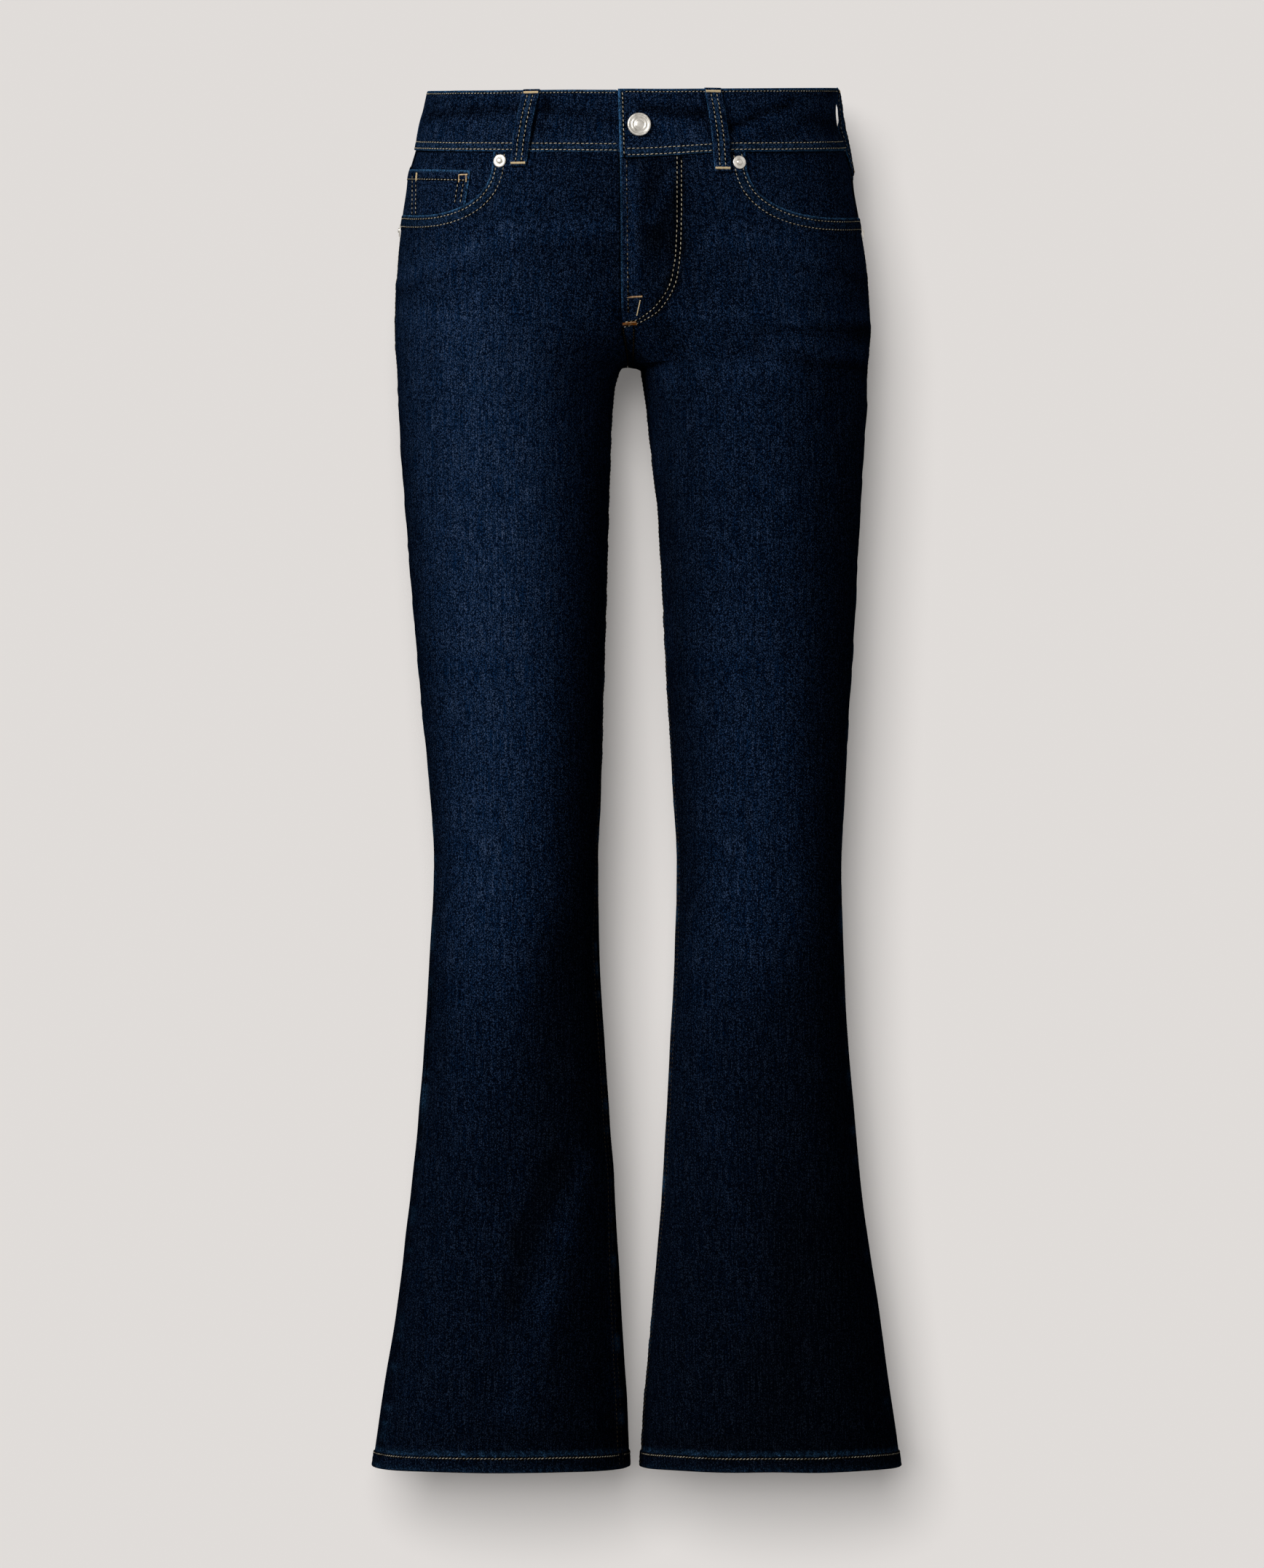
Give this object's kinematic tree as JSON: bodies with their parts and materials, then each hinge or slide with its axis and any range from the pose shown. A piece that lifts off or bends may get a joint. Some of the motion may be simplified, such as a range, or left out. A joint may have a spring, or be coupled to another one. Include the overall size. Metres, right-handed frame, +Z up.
{
  "type": "flared jeans",
  "caption": "Hollow denim trousers with flared legs, filled out as worn: waistband with belt loops, buttoned fly, scooped front pockets, small coin pocket, yokes and back patch pockets.",
  "frame": {"origin": "middle of the waist opening, at half the waistband's height, where the wearer holds the garment up", "axes": "+Z up along the legs, -Y the front, +X the wearer's left"},
  "size_m": [0.3884, 0.2428, 1.0153],
  "materials": {
    "denim": "dark indigo stretch denim, washed, with tan top-stitching",
    "zip_tape": "woven dark blue zip tape",
    "nickel": "nickel plate, satin"
  },
  "bodies": {
    "root": {"front_right": "denim", "front_left": "denim", "back_right": "denim", "back_left": "denim", "yoke_right": "denim", "yoke_left": "denim", "waistband": "denim", "belt_loop_1": "denim", "belt_loop_2": "denim", "belt_loop_3": "denim", "belt_loop_4": "denim", "belt_loop_5": "denim", "pocket_facing_right": "denim", "pocket_facing_left": "denim", "coin_pocket": "denim", "back_pocket_right": "denim", "back_pocket_left": "denim", "fly_shield": "denim", "zip_tape": "zip_tape", "zip_slider": "nickel", "button": "nickel", "rivet_mouth_right": "nickel", "rivet_mouth_left": "nickel", "rivet_side_right": "nickel", "rivet_side_left": "nickel"}
  },
  "joints": []
}
